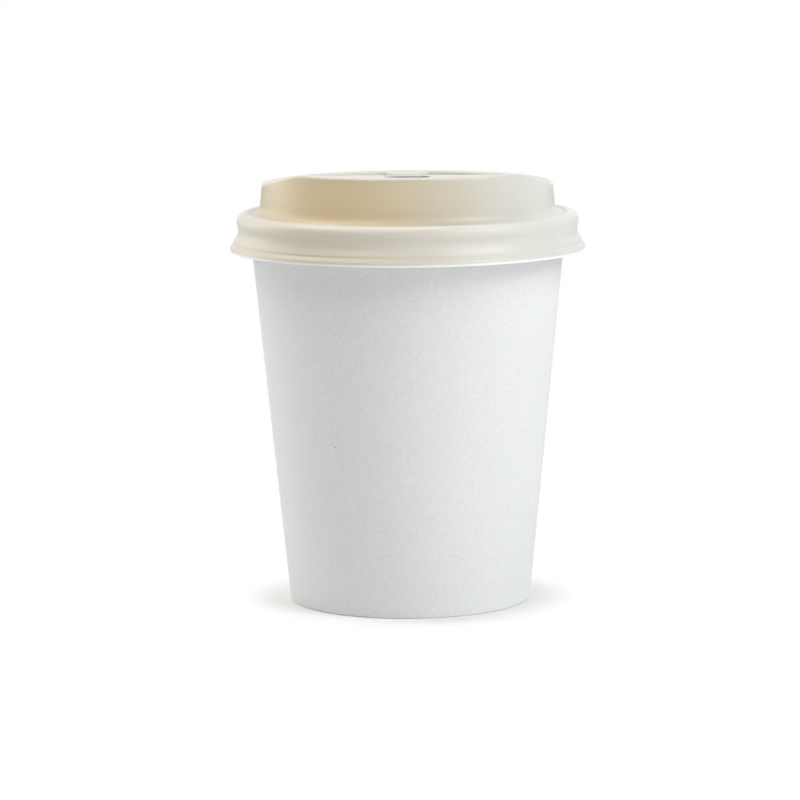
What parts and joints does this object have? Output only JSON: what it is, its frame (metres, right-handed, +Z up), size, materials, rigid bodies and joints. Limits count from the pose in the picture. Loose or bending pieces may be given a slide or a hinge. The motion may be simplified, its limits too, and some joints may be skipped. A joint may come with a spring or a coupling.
{
  "type": "takeaway coffee cup with lid",
  "caption": "Tapered paper cup with a rolled rim, a held-in bottom disc and a press-on plastic sip lid with a raised drinking crest.",
  "frame": {"origin": "on the table under the middle of the cup", "axes": "+Z up along the cup's axis, -Y towards the drinking side of the lid, +Y towards the cup's glued side seam"},
  "size_m": [0.0846, 0.0846, 0.1038],
  "materials": {
    "wall_paper": "matte",
    "bottom_paper": "matte",
    "lid_plastic": "satin"
  },
  "bodies": {
    "cup": {"cup_wall": "wall_paper", "cup_bottom": "bottom_paper"},
    "lid": {"lid": "lid_plastic"}
  },
  "joints": [
    {"name": "lid_lift", "type": "slide", "parent": "cup", "child": "lid", "axis": [0, 0, 1], "range_m": [0, 0.03]}
  ]
}
